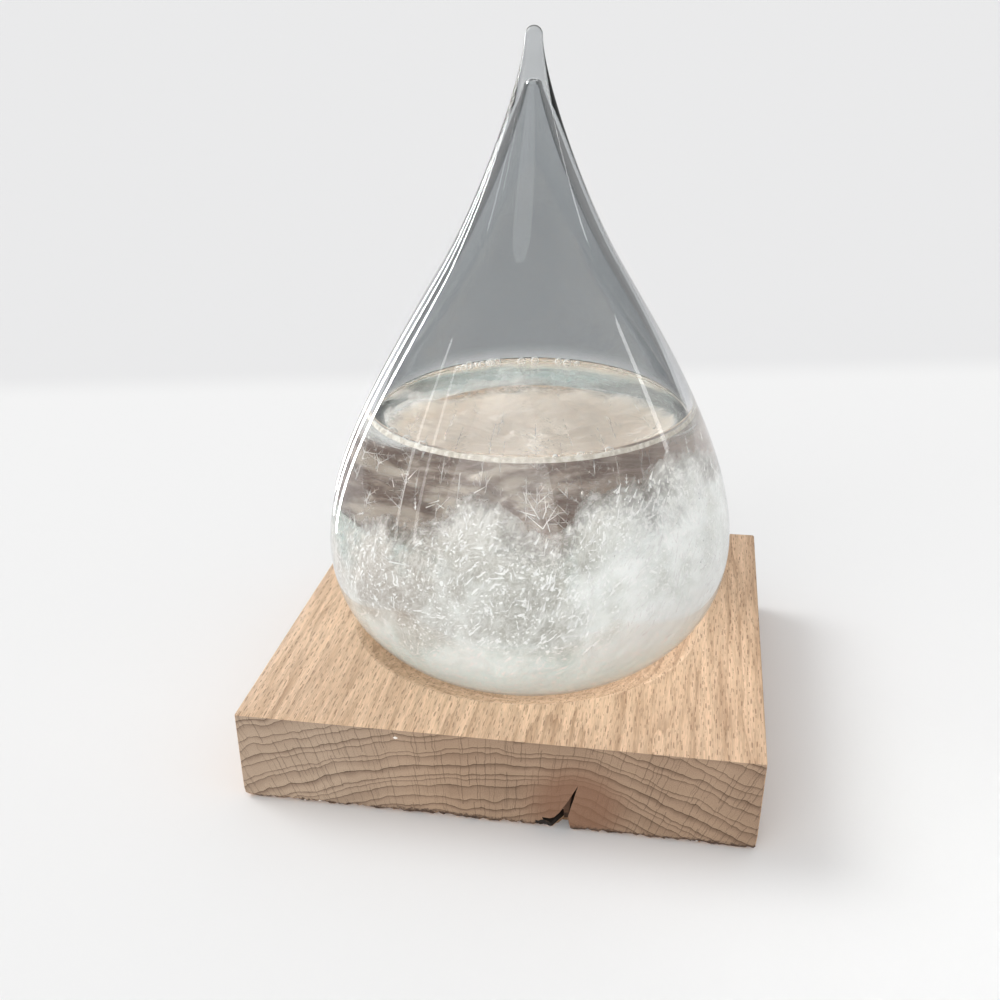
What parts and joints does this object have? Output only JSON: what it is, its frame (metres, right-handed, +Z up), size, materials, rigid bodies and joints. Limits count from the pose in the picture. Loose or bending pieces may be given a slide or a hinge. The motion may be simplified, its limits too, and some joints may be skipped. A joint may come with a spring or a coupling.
{
  "type": "storm glass",
  "caption": "Teardrop glass vessel of clear liquid with white feathered crystals, standing in a round dish cut in a square wooden block; the vessel lifts out.",
  "frame": {"origin": "middle of the wooden block's underside, which rests on the table", "axes": "+Z up along the glass drop's axis; the block's sides lie along X and Y, its grain runs along Y, and its cracked end grain faces -Y"},
  "size_m": [0.1, 0.1, 0.1341],
  "materials": {
    "beech": "matte",
    "glass": "gloss",
    "solution": "gloss",
    "settled_crystals": "satin",
    "feathered_crystals": "satin"
  },
  "bodies": {
    "base": {"wooden_base": "beech"},
    "drop": {"glass_drop": "glass", "filling_seal": "glass", "weather_solution": "solution", "settled_crystals": "settled_crystals", "crystal_frond_01": "feathered_crystals", "crystal_frond_02": "feathered_crystals", "crystal_frond_03": "feathered_crystals", "crystal_frond_04": "feathered_crystals", "crystal_frond_05": "feathered_crystals", "crystal_frond_06": "feathered_crystals", "crystal_frond_07": "feathered_crystals", "crystal_frond_08": "feathered_crystals", "crystal_frond_09": "feathered_crystals", "crystal_frond_10": "feathered_crystals", "crystal_frond_11": "feathered_crystals", "crystal_frond_12": "feathered_crystals", "crystal_frond_13": "feathered_crystals", "crystal_frond_14": "feathered_crystals", "crystal_frond_15": "feathered_crystals", "crystal_frond_16": "feathered_crystals", "crystal_frond_17": "feathered_crystals", "crystal_frond_18": "feathered_crystals", "crystal_frond_19": "feathered_crystals", "crystal_frond_20": "feathered_crystals", "crystal_frond_21": "feathered_crystals", "crystal_frond_22": "feathered_crystals", "crystal_frond_23": "feathered_crystals", "crystal_frond_24": "feathered_crystals", "crystal_frond_25": "feathered_crystals", "crystal_frond_26": "feathered_crystals", "crystal_frond_27": "feathered_crystals"}
  },
  "joints": [
    {"name": "drop_lift", "type": "slide", "parent": "base", "child": "drop", "axis": [0, 0, 1], "range_m": [0, 0.15]}
  ]
}
